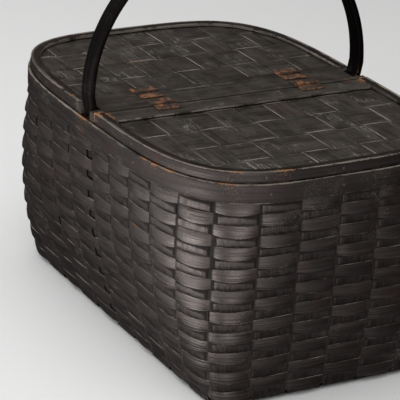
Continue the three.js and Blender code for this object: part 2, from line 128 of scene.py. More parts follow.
def wall(place, height, out=0.0):
    """Points on the wall and its outward normals. place counts stakes round from a corner."""
    place, height, out = np.broadcast_arrays(
        np.asarray(place, float), np.asarray(height, float), np.asarray(out, float)
    )
    turned = (place - LONG_SIDE / 2) % STAKES / (STAKES / 4)
    quarter = np.minimum(np.floor(turned).astype(int), 3)
    part = turned - quarter
    part = np.where(quarter % 2 == 0, part, 1 - part)
    sign_x = np.where(quarter < 2, 1.0, -1.0)
    sign_y = np.where((quarter == 0) | (quarter == 3), -1.0, 1.0)
    t = np.clip((height - WALL_START) / (WALL_TOP - WALL_START), 0, 1)
    row, column = t * (LEVELS - 1), part * (FINE - 1)
    r0 = np.minimum(row.astype(int), LEVELS - 2)
    c0 = np.minimum(column.astype(int), FINE - 2)
    fr, fc = row - r0, column - c0

    def read(axis):
        table = TABLE[:, axis]
        low = table[r0, c0] * (1 - fc) + table[r0, c0 + 1] * fc
        high = table[r0 + 1, c0] * (1 - fc) + table[r0 + 1, c0 + 1] * fc
        return low * (1 - fr) + high * fr

    x, y = read(0), read(1)
    a, b, n = wall_size(t)
    nx, ny = (x / a) ** (n - 1) / a, (y / b) ** (n - 1) / b
    size = np.hypot(nx, ny)
    nx, ny = nx / size * sign_x, ny / size * sign_y
    slope = WALL_SWELL * (1 - t) ** (WALL_SWELL - 1) / (WALL_TOP - WALL_START)
    lean = slope * (
        nx**2 * (TOP_HALF[0] - BASE_HALF[0]) + ny**2 * (TOP_HALF[1] - BASE_HALF[1])
    )
    point = np.stack([x * sign_x + nx * out, y * sign_y + ny * out, height], -1)
    normal = np.stack([nx, ny, -lean], -1)
    return point, normal / np.linalg.norm(normal, axis=-1, keepdims=True)


def stake_edges(i):
    """Where upright i starts and ends round the wall. The fifth and sixth stand apart."""
    if i < LONG_SIDE / 2:
        pitch = (5.06 + 0.0375) / 5
        low, high = (i + 0.5) * pitch - 0.4625, (i + 0.5) * pitch + 0.4625
    elif i < LONG_SIDE:
        start = 5.37 - 0.01875
        pitch = (LONG_SIDE - start) / 5
        middle = start + (i - 5 + 0.5) * pitch
        low, high = middle - pitch / 2 + 0.01875, middle + pitch / 2 - 0.0375
    else:
        low, high = i + 0.0375, i + 0.9625
    if i in (0, 10, 16, 26):
        low = i + 0.08
    if i + 1 in (10, 16, 26, 32):
        high = i + 1 - 0.08
    return low, high


# Places round the wall where one stake ends and the next starts, and their count.
SEAM_PLACES = (0, 4.11, 5.325, 6.265, 10, 32)
SEAM_COUNTS = (0, 4, 5, 6, 10, 32)


def stake_count(place):
    """How many stakes lie before a place, whole at the gap between two stakes."""
    laps = np.floor(place / STAKES)
    return np.interp(place - laps * STAKES, SEAM_PLACES, SEAM_COUNTS) + laps * STAKES


# ---- bands and laths
# Places across a band, with how thick it is there and how close to an arris.
THIN_ACROSS = np.array([-1, -0.965, -0.88, -0.45, 0, 0.45, 0.88, 0.965, 1])
THIN_THICK = np.array([0.4, 0.95, 1, 1, 1, 1, 1, 0.95, 0.4])
THIN_EDGE = np.array([1, 0.8, 0, 0, 0, 0, 0, 0.8, 1])
LATH_ACROSS = np.array([-1, -0.94, -0.84, -0.5, 0, 0.5, 0.84, 0.94, 1])
LATH_THICK = np.array([0.45, 0.8, 0.96, 1, 1, 1, 0.96, 0.8, 0.45])
LATH_EDGE = np.array([1, 0.8, 0.1, 0, 0, 0, 0.1, 0.8, 1])
STRIP = (THIN_ACROSS, THIN_THICK, THIN_EDGE)
LATH = (LATH_ACROSS, LATH_THICK, LATH_EDGE)
HANDLE = (  # with two fine grooves along it
    np.array([-1, -0.95, -0.84, -0.6, -0.52, -0.44, -0.05, 0.03, 0.11, 0.5, 0.84, 0.95, 1]),
    np.array([0.5, 0.8, 0.96, 1, 0.93, 1, 1, 0.92, 1, 1, 0.96, 0.8, 0.5]),
    np.array([1, 0.8, 0.1, 0, 0, 0, 0, 0, 0, 0, 0.1, 0.8, 1]),
)

# Spots rubbed down to bare wood, one of them also a painted highlight: middle, reach and how far
# they go, in millimetres.
RUBBED_AND_GLINT = (
    ((-4, -150, 209), 15, 1.0),
    ((20, -140, 223), 13, 1.0),
    ((30, -133, 223), 9, 0.8),
    ((17, 130, 223), 17, 0.9),
    ((114, -147, 214), 9, 0.75),
    ((130, -146, 214), 11, 0.85),
    ((148, -140, 214), 10, 0.85),
    # Where the rim's top edge shows a glint: a pale rubbed patch that is wear and a painted
    # highlight.
    ((196, -106, 213), 12, 0.7),
    ((170, -134, 199), 8, 0.9),
    ((200, -100, 224), 9, 0.8),
    ((212, -58, 224), 13, 0.8),
    ((-120, -38, 220), 11, 0.7),
    ((-36, -141, 222), 7, 0.9),
    ((216, 11, 190), 7, 0.7),
    ((214, 47, 170), 7, 0.8),
    ((90, -138, 126), 8, 0.7),
    ((128, -134, 110), 11, 0.6),
    ((60, -150, 196), 9, 0.7),
    ((170, -133, 185), 9, 0.85),
    ((100, -143, 145), 9, 0.75),
    ((150, -135, 62), 9, 0.75),
)


def rubbed(points):
    """How bare each point is, from 0 to 1; one spot is also a painted highlight."""
    bare = np.zeros(len(points))
    for middle, reach, depth in RUBBED_AND_GLINT:
        away = np.linalg.norm(points - np.array(middle, float), axis=1)
        bare = np.maximum(bare, depth * np.clip(1.3 - away / reach, 0, 1))
    return bare


def paint(mesh, **values):
    """Stores one number for each point under each name, for the finishes to read."""
    for label, value in values.items():
        layer = mesh.attributes.new(label, "FLOAT", "POINT")
        spread = np.broadcast_to(np.asarray(value, np.float32), (len(mesh.vertices),))
        layer.data.foreach_set("value", np.ascontiguousarray(spread))


def add_object(name, mesh, smooth):
    """Shades a mesh smooth up to an angle in degrees and puts it in the scene."""
    mesh.polygons.foreach_set("use_smooth", [True] * len(mesh.polygons))
    mesh.set_sharp_from_angle(angle=math.radians(smooth))
    mesh.update()
    obj = bpy.data.objects.new(name, mesh)
    bpy.context.scene.collection.objects.link(obj)
    return obj


def band(name, middle, half, kind, rng, facing, crown=0.0, crevice=0.0):
    """A closed solid that follows a grid of points on its middle surface.

    middle is stations x places across x 3, half its half thickness, kind one of STRIP and
    LATH, and facing a direction on the side that crown thickens in the middle.
    """
    across_at, thick, arris = kind
    stations, places = middle.shape[:2]
    normal = np.cross(np.gradient(middle, axis=0), np.gradient(middle, axis=1))
    normal /= np.linalg.norm(normal, axis=-1, keepdims=True)
    if np.dot(normal[0, places // 2], facing) < 0:
        normal = -normal
    half = np.broadcast_to(np.asarray(half, float), (stations,))[:, None] * thick
    bulge = crown * np.clip(1 - across_at**2, 0, 1)
    front = middle + normal * (half + bulge)[..., None]
    back = middle - normal * half[..., None]
    ring = np.concatenate([front, back[:, ::-1]], axis=1)
    count = 2 * places
    points = ring.reshape(-1, 3)

    centre = middle[:, places // 2]
    steps = np.linalg.norm(np.diff(centre, axis=0), axis=1)
    run = np.concatenate([[0], np.cumsum(steps)])
    widths = np.linalg.norm(np.diff(middle[stations // 2], axis=0), axis=1)
    over = np.concatenate([[0], np.cumsum(widths)])
    over = np.concatenate([over, over[-1] + 1 + over, [2 * over[-1] + 2]])
    shift = rng.uniform(0, 3000, 2)

    s, r = (index.ravel() for index in np.indices((stations - 1, count)))
    here, beside = s * count + r, s * count + (r + 1) % count
    faces = np.stack([here, here + count, beside + count, beside], -1)
    along = np.stack([run[s], run[s + 1], run[s + 1], run[s]], -1) + shift[0]
    across = np.stack([over[r], over[r], over[r + 1], over[r + 1]], -1) + shift[1]
    edge = np.tile(np.concatenate([arris, arris[::-1]]), (stations, 1))
    edge[0], edge[-1] = 1, 1
    r = np.arange(places - 1)
    for base, turn in ((0, 1), ((stations - 1) * count, -1)):
        cap = base + np.stack([r, r + 1, count - 2 - r, count - 1 - r], -1)[:, ::turn]
        faces = np.concatenate([faces, cap])
        ends = np.tile([0.0, 0.0, 2.0, 2.0], (len(r), 1)) + shift[0]
        sides = np.stack([over[r], over[r + 1], over[r + 1], over[r]], -1) + shift[1]
        along = np.concatenate([along, ends])
        across = np.concatenate([across, sides])
    if signed_volume(points, faces) < 0:
        faces, along, across = faces[:, ::-1], along[:, ::-1], across[:, ::-1]
    # Painted shade along the band, the same on both faces.
    shade_paint = np.broadcast_to(crevice, (stations, places))
    shade_paint = np.concatenate([shade_paint, shade_paint[:, ::-1]], axis=1).ravel()
    mesh = bpy.data.meshes.new(name)
    mesh.from_pydata((points * MM).tolist(), [], faces.tolist())
    grain = mesh.uv_layers.new(name="Grain")
    corners = np.stack([along.ravel(), across.ravel()], -1) * MM
    grain.data.foreach_set("uv", corners.astype(np.float32).ravel())
    tone = rng.uniform(-1, 1)
    paint(mesh, edge=edge.ravel(), bare=rubbed(points), tone=tone, crevice=shade_paint)
    return add_object(name, mesh, 40)


def signed_volume(points, faces):
    """Six times the volume inside quads, above 0 when they face outward."""
    p = points[faces]
    first = np.einsum("ij,ij->i", p[:, 0], np.cross(p[:, 1], p[:, 2]))
    return (first + np.einsum("ij,ij->i", p[:, 0], np.cross(p[:, 2], p[:, 3]))).sum()


def mix(a, b, t):
    return a + (b - a) * t


def ease(t):
    """From 0 to 1 with a soft start and a soft end."""
    t = np.clip(t, 0, 1)
    return t * t * (3 - 2 * t)


def bell(t):
    return np.exp(-(t**2))


def flattened(swing, sharpness):
    """A wave from -1 to 1 with its crests flattened."""
    return np.tanh(sharpness * swing) / math.tanh(sharpness)


def round_from(middle, place):
    """How far a place is round the wall from another, below 0 before it."""
    return (place - middle + STAKES / 2) % STAKES - STAKES / 2

# ---- what can be set
class BasketSizes(bpy.types.PropertyGroup):
    """Sizes of the loose weave and trim that the frame leaves open."""

    splint_thick: FloatProperty(
        name="Splint thickness", description="Thickness of a stake or weaver",
        default=1.15 * MM, min=0.5 * MM, max=2 * MM, unit="LENGTH",
    )
    weave_depth: FloatProperty(
        name="Weave depth",
        description="How far a weaver stands out from the middle of the wall over a stake",
        default=1.8 * MM, min=0.8 * MM, max=2.2 * MM, unit="LENGTH",
    )
    weaver_height: FloatProperty(
        name="Weaver height", description="Height of a weaver where it passes between two stakes",
        default=9.45 * MM, min=6 * MM, max=9.9 * MM, unit="LENGTH",
    )
    lid_gap: FloatProperty(
        name="Lid splint gap", description="Gap between neighbouring splints of a lid",
        default=0.8 * MM, min=0.2 * MM, max=4 * MM, unit="LENGTH",
    )


class BasketFinish(bpy.types.PropertyGroup):
    """Colours of the stained wood and of the iron."""

    stain: FloatVectorProperty(
        name="Stain", description="Colour of the dark stain on the splints, rims and handle",
        default=(0.0094, 0.0070, 0.0061), subtype="COLOR", min=0, max=1,
    )
    lid_stain: FloatVectorProperty(
        name="Lid stain", description="Colour of the stain on the lids and the board",
        default=(0.0255, 0.0215, 0.0175), subtype="COLOR", min=0, max=1,
    )
    bare_wood: FloatVectorProperty(
        name="Bare wood", description="Colour of the wood where the stain is rubbed off",
        default=(0.27, 0.125, 0.052), subtype="COLOR", min=0, max=1,
    )
    scuff: FloatVectorProperty(
        name="Scuff", description="Colour of dry scuffed fibres on the edges",
        default=(0.30, 0.265, 0.225), subtype="COLOR", min=0, max=1,
    )
    rust: FloatVectorProperty(
        name="Rust", description="Colour of the rust on hinges and nails",
        default=(0.17, 0.066, 0.024), subtype="COLOR", min=0, max=1,
    )


class BasketStage(bpy.types.PropertyGroup):
    """The floor, the lights and the camera."""

    floor_colour: FloatVectorProperty(
        name="Floor", description="Colour of the floor",
        default=(0.80, 0.80, 0.80), subtype="COLOR", min=0, max=1,
    )
    key_power: FloatProperty(
        name="Sheen lights", description="Power of the small low lights that only the finish shows",
        default=1.5, min=0, subtype="POWER",
    )
    fill_power: FloatProperty(
        name="Side lights", description="Power of the two broad lights left and right of the corner",
        default=12.0, min=0, subtype="POWER",
    )
    overhead_power: FloatProperty(
        name="Overhead light", description="Power of the broad light over the basket",
        default=32.0, min=0, subtype="POWER",
    )
    sky: FloatProperty(
        name="Sky", description="Strength of the even light from all round", default=0.37, min=0,
    )
    reflected_sky: FloatProperty(
        name="Reflected sky", description="Strength of the even light where the finish reflects it",
        default=0.06, min=0,
    )
    camera_turn: FloatProperty(
        name="Camera turn",
        description="Angle of the camera round the basket, 0 in front of its long side",
        default=math.radians(61.1), subtype="ANGLE",
    )
    camera_height: FloatProperty(
        name="Camera height", description="Angle of the camera above the floor",
        default=math.radians(21.45), subtype="ANGLE",
    )
    camera_away: FloatProperty(
        name="Camera distance", description="Distance from the camera to what it looks at",
        default=1.9097, min=0.5, subtype="DISTANCE", unit="LENGTH",
    )
    camera_lens: FloatProperty(
        name="Lens", description="Focal length in millimetres on a 36 mm frame",
        default=198.14, min=10, subtype="DISTANCE_CAMERA",
    )
    camera_roll: FloatProperty(
        name="Camera roll", description="How far the camera leans about its own line of sight",
        default=math.radians(2.545), subtype="ANGLE",
    )


# ---- shader node helpers
def plug(tree, socket, value):
    """Links a value to a socket, or sets the socket to it."""
    if isinstance(value, bpy.types.NodeSocket):
        tree.links.new(value, socket)
    else:
        socket.default_value = value


def node(tree, kind, **settings):
    """A new shader node. A setting named in_ is an input, by its name or number."""
    made = tree.nodes.new(kind)
    for key, value in settings.items():
        if key.startswith("in_"):
            label = key[3:].replace("_", " ")
            plug(tree, made.inputs[int(label) if label.isdigit() else label], value)
        else:
            setattr(made, key, value)
    return made


def maths(tree, operation, *values, clamp=False):
    made = node(tree, "ShaderNodeMath", operation=operation, use_clamp=clamp)
    for socket, value in zip(made.inputs, values):
        plug(tree, socket, value)
    return made.outputs[0]


def times(tree, a, b):
    return maths(tree, "MULTIPLY", a, b)


def plus(tree, a, b):
    return maths(tree, "ADD", a, b)


def minus(tree, a, b):
    return maths(tree, "SUBTRACT", a, b)


def ramp(tree, value, low, high, bottom=0.0, top=1.0):
    """value from low..high smoothly to bottom..top."""
    made = node(
        tree, "ShaderNodeMapRange", interpolation_type="SMOOTHSTEP", in_Value=value,
        in_From_Min=low, in_From_Max=high, in_To_Min=bottom, in_To_Max=top,
    )
    return made.outputs["Result"]


def blend(tree, share, a, b, mode="MIX"):
    made = node(
        tree, "ShaderNodeMix", data_type="RGBA", blend_type=mode, in_0=share, in_6=a, in_7=b
    )
    return made.outputs[2]


def noise(tree, place, scale, detail=2.0, rough=0.5, **more):
    made = node(
        tree, "ShaderNodeTexNoise", in_Vector=place, in_Scale=scale, in_Detail=detail,
        in_Roughness=rough, **more,
    )
    return made.outputs[0]


def painted(tree, label):
    """A number stored on the mesh by paint()."""
    return node(tree, "ShaderNodeAttribute", attribute_name=label).outputs["Fac"]


def own_place(tree):
    return node(tree, "ShaderNodeTexCoord").outputs["Object"]


def bumpy(tree, shader, height, strength, distance):
    raised = node(
        tree, "ShaderNodeBump", in_Height=height, in_Strength=strength, in_Distance=distance
    )
    tree.links.new(raised.outputs[0], shader.inputs["Normal"])


def rgba(colour, share=1.0, more=0.0):
    return (*(c * share + more for c in colour[:3]), 1.0)


def shader_group(name, inputs, outputs):
    """Turns a function that fills a node tree into one that gives its group, made once."""

    def wrap(fill):
        def group():
            if name in bpy.data.node_groups:
                return bpy.data.node_groups[name]
            tree = bpy.data.node_groups.new(name, "ShaderNodeTree")
            kind = "NodeSocketFloat"
            for label, default in inputs.items():
                socket = tree.interface.new_socket(label, in_out="INPUT", socket_type=kind)
                socket.default_value = default
            for label in outputs:
                tree.interface.new_socket(label, in_out="OUTPUT", socket_type=kind)
            given = tree.nodes.new("NodeGroupInput")
            result = tree.nodes.new("NodeGroupOutput")
            for label, value in zip(outputs, fill(tree, given.outputs)):
                tree.links.new(value, result.inputs[label])
            return tree

        return group

    return wrap


GRAIN_SOCKETS = {"Fibre pitch": 900.0, "Fibre run": 14.0}


@shader_group("Splint grain", GRAIN_SOCKETS, ("Fibre", "Streak", "Height"))
def grain_group(tree, given):
    """Long wood fibres and broader streaks that run along a splint or lath."""
    place = node(tree, "ShaderNodeUVMap", uv_map="Grain").outputs["UV"]
    parts = node(tree, "ShaderNodeSeparateXYZ", in_Vector=place).outputs

    def stretched(share_along, share_across):
        along = times(tree, times(tree, parts[0], given["Fibre run"]), share_along)
        across = times(tree, times(tree, parts[1], given["Fibre pitch"]), share_across)
        return node(tree, "ShaderNodeCombineXYZ", in_X=along, in_Y=across).outputs[0]

    flat = {"noise_dimensions": "2D"}
    fibre = noise(tree, stretched(1.0, 1.0), 1.0, 2.0, 0.6, **flat)
    streak = noise(tree, stretched(0.6, 0.22), 1.0, 3.0, 0.55, in_Distortion=0.3, **flat)
    height = plus(tree, times(tree, fibre, 0.6), times(tree, streak, 0.5))
    return ramp(tree, fibre, 0.3, 0.7), ramp(tree, streak, 0.28, 0.72), height


@shader_group("Rubbed edges", {"Edge wear": 0.4, "Patch size": 60.0}, ("Scuff", "Bare"))
def wear_group(tree, given):
    """Wear along the arrises and in rubbed spots."""
    place = own_place(tree)
    patches = noise(tree, place, given["Patch size"], 3.0, 0.6)
    nicks = noise(tree, place, 650.0, 3.0, 0.7)
    edge = painted(tree, "edge")
    speckled = plus(tree, patches, times(tree, nicks, 0.5))
    scuffed = plus(tree, times(tree, edge, given["Edge wear"]), speckled)
    # The bare spots include one painted highlight on the rim's top edge.
    spots = ramp(tree, painted(tree, "bare"), 0.0, 0.8)
    both = times(tree, spots, plus(tree, 0.42, times(tree, edge, 0.7)))
    both = plus(tree, both, times(tree, minus(tree, nicks, 0.5), 3.6))
    return ramp(tree, scuffed, 1.04, 1.22), ramp(tree, both, 0.62, 1.05)


@shader_group("Tone drift", {"Splint share": 0.2, "Cloud share": 0.3}, ("Tone", "Warm"))
def tone_group(tree, given):
    """Slow changes of tone, from splint to splint and over the whole basket."""
    place = own_place(tree)
    cloud = times(tree, minus(tree, noise(tree, place, 11.0, 3.0), 0.5), 2.0)
    fleck = times(tree, minus(tree, noise(tree, place, 700.0, 2.0, 0.7), 0.5), 1.6)
    own = times(tree, painted(tree, "tone"), given["Splint share"])
    total = plus(tree, own, times(tree, plus(tree, cloud, fleck), given["Cloud share"]))
    warm = noise(tree, place, 38.0, 4.0, 0.65)
    return plus(tree, total, 1.0), ramp(tree, warm, 0.5, 0.68)


@shader_group("Fine scratches", {"Amount": 0.5}, ("Scratch",))
def scratch_group(tree, given):
    """Fine pale scratches that cross the grain, in three directions."""
    place = own_place(tree)
    found = 0.0
    for turn, shift in ((0.7, 0.0), (-0.5, 4.0), (1.9, 9.0)):
        turned = node(
            tree, "ShaderNodeMapping", in_Vector=place, in_Rotation=(0.2, 0.3, turn),
            in_Location=(shift, shift, 0), in_Scale=(22.0, 260.0, 260.0),
        ).outputs[0]
        off = maths(tree, "ABSOLUTE", minus(tree, noise(tree, turned, 1.0, 1.0), 0.5))
        found = maths(tree, "MAXIMUM", found, ramp(tree, off, 0.002, 0.012, 1.0, 0.0))
    where = ramp(tree, noise(tree, place, 35.0), 0.5, 0.68)
    return (times(tree, times(tree, found, where), given["Amount"]),)


@shader_group("Settled dust", {"Amount": 0.2}, ("Dust",))
def dust_group(tree, given):
    """Pale dust that settles on faces that look up."""
    facing = node(tree, "ShaderNodeNewGeometry").outputs["Normal"]
    up = node(tree, "ShaderNodeSeparateXYZ", in_Vector=facing).outputs[2]
    patch = noise(tree, own_place(tree), 55.0, 5.0, 0.65)
    amount = times(tree, ramp(tree, up, 0.2, 0.95), ramp(tree, patch, 0.35, 0.75))
    return (times(tree, amount, given["Amount"]),)


def placed(tree, group, **values):
    """A group placed in a material with its own values."""
    made = tree.nodes.new("ShaderNodeGroup")
    made.node_tree = group
    for key, value in values.items():
        made.inputs[key.replace("_", " ")].default_value = value
    return made.outputs


def new_material(name):
    material = bpy.data.materials.new(name)
    material.use_nodes = True
    tree = material.node_tree
    tree.nodes.clear()
    out = tree.nodes.new("ShaderNodeOutputMaterial")
    shader = tree.nodes.new("ShaderNodeBsdfPrincipled")
    tree.links.new(shader.outputs[0], out.inputs[0])
    return material, tree, shader


SCRATCH_COLOUR, DUST_COLOUR = (0.20, 0.185, 0.165, 1), (0.10, 0.09, 0.078, 1)


def stained_wood(
    name, stain="stain", share=1.0, light=1.7, pitch=700, run=8, splint=0.1, edge_wear=0.42,
    dust=0.15, scratches=0.3, rough=(0.45, 0.58), gloss=0.3, ior=1.5, bump=0.25, warm=0.15,
):
    """Dark stained wood with its own share of grain, wear, dust and scratches, darkened where shade
    is painted on its mesh.
    """
    if name in bpy.data.materials:
        return bpy.data.materials[name]
    finish = bpy.context.scene.basket_finish
    stain = rgba(getattr(finish, stain), share)
    material, tree, shader = new_material(name)
    grain = placed(tree, grain_group(), Fibre_pitch=pitch, Fibre_run=run)
    wear = placed(tree, wear_group(), Edge_wear=edge_wear)
    tone = placed(tree, tone_group(), Splint_share=splint)
    settled = placed(tree, dust_group(), Amount=dust)["Dust"]
    scratch = placed(tree, scratch_group(), Amount=scratches)["Scratch"]

    fibres = plus(tree, times(tree, grain["Fibre"], 0.45), times(tree, grain["Streak"], 0.55))
    colour = blend(tree, fibres, rgba(stain, 0.62), rgba(stain, light))
    # crevice is shade painted on the mesh: it darkens the colour, keeps scuffs out and roughens the
    # finish where splints dip under others, in slots and behind the rim.
    crevice = painted(tree, "crevice")
    unshaded = minus(tree, 1.0, times(tree, crevice, 0.95))
    shade = times(tree, tone["Tone"], unshaded)
    red = (1 + warm, 1 - 0.05 * warm, 1 - 0.2 * warm, 1)
    clouds = blend(tree, tone["Warm"], (1, 1, 1, 1), red)
    colour = blend(tree, 1.0, colour, clouds, "MULTIPLY")
    scaled = node(tree, "ShaderNodeVectorMath", operation="SCALE", in_0=colour, in_Scale=shade)
    worn = times(tree, wear["Scuff"], unshaded)
    scuff = maths(tree, "MULTIPLY", worn, plus(tree, grain["Fibre"], 0.25), clamp=True)
    colour = blend(tree, times(tree, scuff, 0.65), scaled.outputs[0], rgba(finish.scuff))
    colour = blend(tree, times(tree, wear["Bare"], 0.9), colour, rgba(finish.bare_wood))
    colour = blend(tree, scratch, colour, SCRATCH_COLOUR)
    colour = blend(tree, settled, colour, DUST_COLOUR)
    tree.links.new(colour, shader.inputs["Base Color"])

    roughness = ramp(tree, grain["Streak"], 0.0, 1.0, *rough)
    roughness = plus(tree, roughness, times(tree, wear["Bare"], 0.15))
    roughness = plus(tree, roughness, times(tree, settled, 0.4))
    roughness = maths(tree, "ADD", roughness, crevice, clamp=True)
    tree.links.new(roughness, shader.inputs["Roughness"])
    shader.inputs["Specular IOR Level"].default_value = gloss
    shader.inputs["Specular Tint"].default_value = (1, 0.86, 0.82, 1)
    shader.inputs["IOR"].default_value = ior
    bumpy(tree, shader, grain["Height"], bump, 0.001)
    return material


def rusted_iron(name, bright=1.0, rough=(0.55, 0.85)):
    """Red-brown rust with darker scale and a little bare metal showing."""
    if name in bpy.data.materials:
        return bpy.data.materials[name]
    rust = bpy.context.scene.basket_finish.rust
    material, tree, shader = new_material(name)
    place = own_place(tree)
    blotch = noise(tree, place, 260.0, 4.0, 0.75)
    pits = node(tree, "ShaderNodeTexVoronoi", in_Vector=place, in_Scale=900.0).outputs[0]
    patch = noise(tree, place, 75.0)
    spread = plus(tree, times(tree, blotch, 0.5), times(tree, patch, 0.5))
    dark, pale = rgba(rust, 0.16 * bright, 0.006), rgba(rust, 1.35 * bright)
    colour = blend(tree, ramp(tree, spread, 0.45, 0.62), dark, pale)
    settled = placed(tree, dust_group(), Amount=0.2)["Dust"]
    colour = blend(tree, settled, colour, (0.2, 0.16, 0.13, 1))
    tree.links.new(colour, shader.inputs["Base Color"])
    tree.links.new(ramp(tree, blotch, 0.3, 0.7, *rough), shader.inputs["Roughness"])
    tree.links.new(ramp(tree, blotch, 0.25, 0.4, 0.3, 0.0), shader.inputs["Metallic"])
    bumpy(tree, shader, plus(tree, blotch, times(tree, pits, 0.3)), 0.5, 0.0004)
    return material


# What each slot of wood is finished with.
WOODS = {
    "stake_splint": dict(
        name="Stained stake splint", share=0.78, pitch=1100, run=9, splint=0.2,
        edge_wear=0.08, rough=(0.44, 0.58), gloss=0.25, bump=0.5, warm=0.4,
    ),
    "weaver_splint": dict(
        name="Stained weaver splint", run=12, splint=0.34, gloss=0.29, bump=0.7, warm=0.6
    ),
    "rim_wood": dict(
        name="Stained rim lath", pitch=600, run=7, edge_wear=0.5, rough=(0.52, 0.72),
        gloss=0.19, bump=0.5, dust=0.1, warm=0.9,
    ),
    "handle_wood": dict(
        name="Stained bent handle", share=0.1, light=1.8, pitch=420, run=5, splint=0.0,
        edge_wear=0.12, rough=(0.5, 0.65), bump=0.45, dust=0.0, scratches=0.1, ior=1.17,
    ),
    "board_wood": dict(
        name="Stained board", stain="lid_stain", pitch=420, run=5, rough=(0.46, 0.66),
        bump=0.35, dust=0.3, scratches=0.5,
    ),
    "lid_splint": dict(
        name="Stained lid splint", stain="lid_stain", light=1.6, splint=0.22, edge_wear=0.7,
        rough=(0.45, 0.66), dust=0.3, scratches=0.9,
    ),
}


def settle(obj, body, slot, *nodes):
    """Gives a piece the finish of its slot and its body, and hides the CAD nodes it stands for."""
    if slot in WOODS:
        material = stained_wood(**WOODS[slot])
    else:
        material = rusted_iron("Nail iron", 0.12, (0.7, 0.9))
    obj.data.materials.append(material)
    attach(obj, body)
    if nodes:
        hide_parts(*nodes)
    return obj


def lay(body, slot, name, grid, half, rng, facing, cad_node, kind=STRIP, **more):
    """A band along a grid of points, in place of one CAD node."""
    settle(band(name, grid, half, kind, rng, facing, **more), body, slot, cad_node)


# ---- operators
class BASKET_OT_stakes(bpy.types.Operator):
    """Weave the floor and stand up the stakes: each splint is one stake, floor and stake"""

    bl_idname = "basket.stakes"
    bl_label = "Stakes and floor"

    def execute(self, context):
        half = context.scene.basket_sizes.splint_thick / MM / 2
        rng = np.random.default_rng(11)
        for axis, many, way in ((0, LONG_SIDE, "cross"), (1, END, "long")):
            facing = (0, -1, 0) if axis == 0 else (-1, 0, 0)
            for i in range(many):
                grid, shade_paint = self.stake_grid(i, axis)
                lay("basket", "stake_splint", f"{way}_splint_{i + 1:02d}", grid, half, rng,
                    facing, f"{way}_stake_{i + 1:02d}", crevice=shade_paint)
        return {"FINISHED"}

    def stake_grid(self, i, axis):
        """Middle surface of one stake: up one wall, across the floor and up the other, and the shade
        painted along it.
        """
        share = (THIN_ACROSS + 1) / 2
        uprights = ((i, False), (25 - i, True)) if axis == 0 else ((31 - i, True), (10 + i, False))
        heights = np.linspace(WALL_START + 1, RIM_HIGH - 2.5, 150)
        count = (heights - WALL_START) / ROW_PITCH
        wave = flattened(np.sin(math.pi * count), 2.2)
        clamped = (heights > WALL_TOP - 1)[:, None]
        arms, shadows = [], []
        for upright, turned in uprights:
            low, high = stake_edges(upright)
            places = mix(high, low, share) if turned else mix(low, high, share)
            out = -STAKE_BOW * wave * (-1) ** upright
            out = np.where(heights > WALL_TOP, out * 0.3, out)
            arms.append(wall(places[None], heights[:, None], out[:, None])[0])
            # Painted shade: a shadow under the weaver above each visible patch, deepest towards the
            # lit_side edge, a dark slot along that edge, full dark where a weaver covers the stake
            # and 0.4 behind the rim.
            lit_side = share[None] if not turned else 1 - share[None]
            deep = mix(0.1, 0.34, lit_side**1.5)
            shadow = ease(((count % 1)[:, None] - 0.85 + deep) / (0.4 * deep))
            shadow = np.maximum(shadow, ease((lit_side - 0.93) / 0.05))
            under = ((upright + np.floor(count)) % 2 == 0)[:, None]
            shadows.append(np.where(clamped, 0.4, np.where(under, 1.0, shadow)))
        floor = self.floor_run(i, axis, share)
        turns = []
        for arm, floor_end in ((arms[0], floor[0]), (arms[1], floor[-1])):
            foot, knee = arm[0], floor_end.copy()
            knee[:, 1 - axis] = foot[:, 1 - axis]
            t = np.linspace(0, 1, 9)[1:-1, None, None]
            turns.append((1 - t) ** 2 * foot + 2 * t * (1 - t) * knee + t**2 * floor_end)
        # A little painted shade on the turns and the floor.
        between = np.full((len(floor) + 2 * len(t), len(share)), 0.1)
        parts = [arms[0][::-1], turns[0], floor, turns[1][::-1], arms[1]]
        return np.concatenate(parts), np.concatenate([shadows[0][::-1], between, shadows[1]])

    def floor_run(self, i, axis, share):
        """The part of a stake that lies in the woven floor."""
        pitch, cross = FLOOR_PITCH[axis], FLOOR_PITCH[1 - axis]
        many, crossings = (LONG_SIDE, END) if axis == 0 else (END, LONG_SIDE)
        start = (i - many / 2) * pitch
        reach = BASE_HALF[1 - axis] - 7.5
        run = np.linspace(-reach, reach, 60 if axis == 0 else 100)
        wave = flattened(np.sin(math.pi * (run / cross + crossings / 2)), 3)
        sign = 1 if (i % 2 == 0) == (axis == 0) else -1
        grid = np.empty((len(run), len(share), 3))
        grid[..., axis] = mix(start + 0.9, start + pitch - 0.9, share)[None]
        grid[..., 1 - axis] = run[:, None]
        grid[..., 2] = (FLOOR_MIDDLE + FLOOR_SWING * wave * sign)[:, None]
        return grid


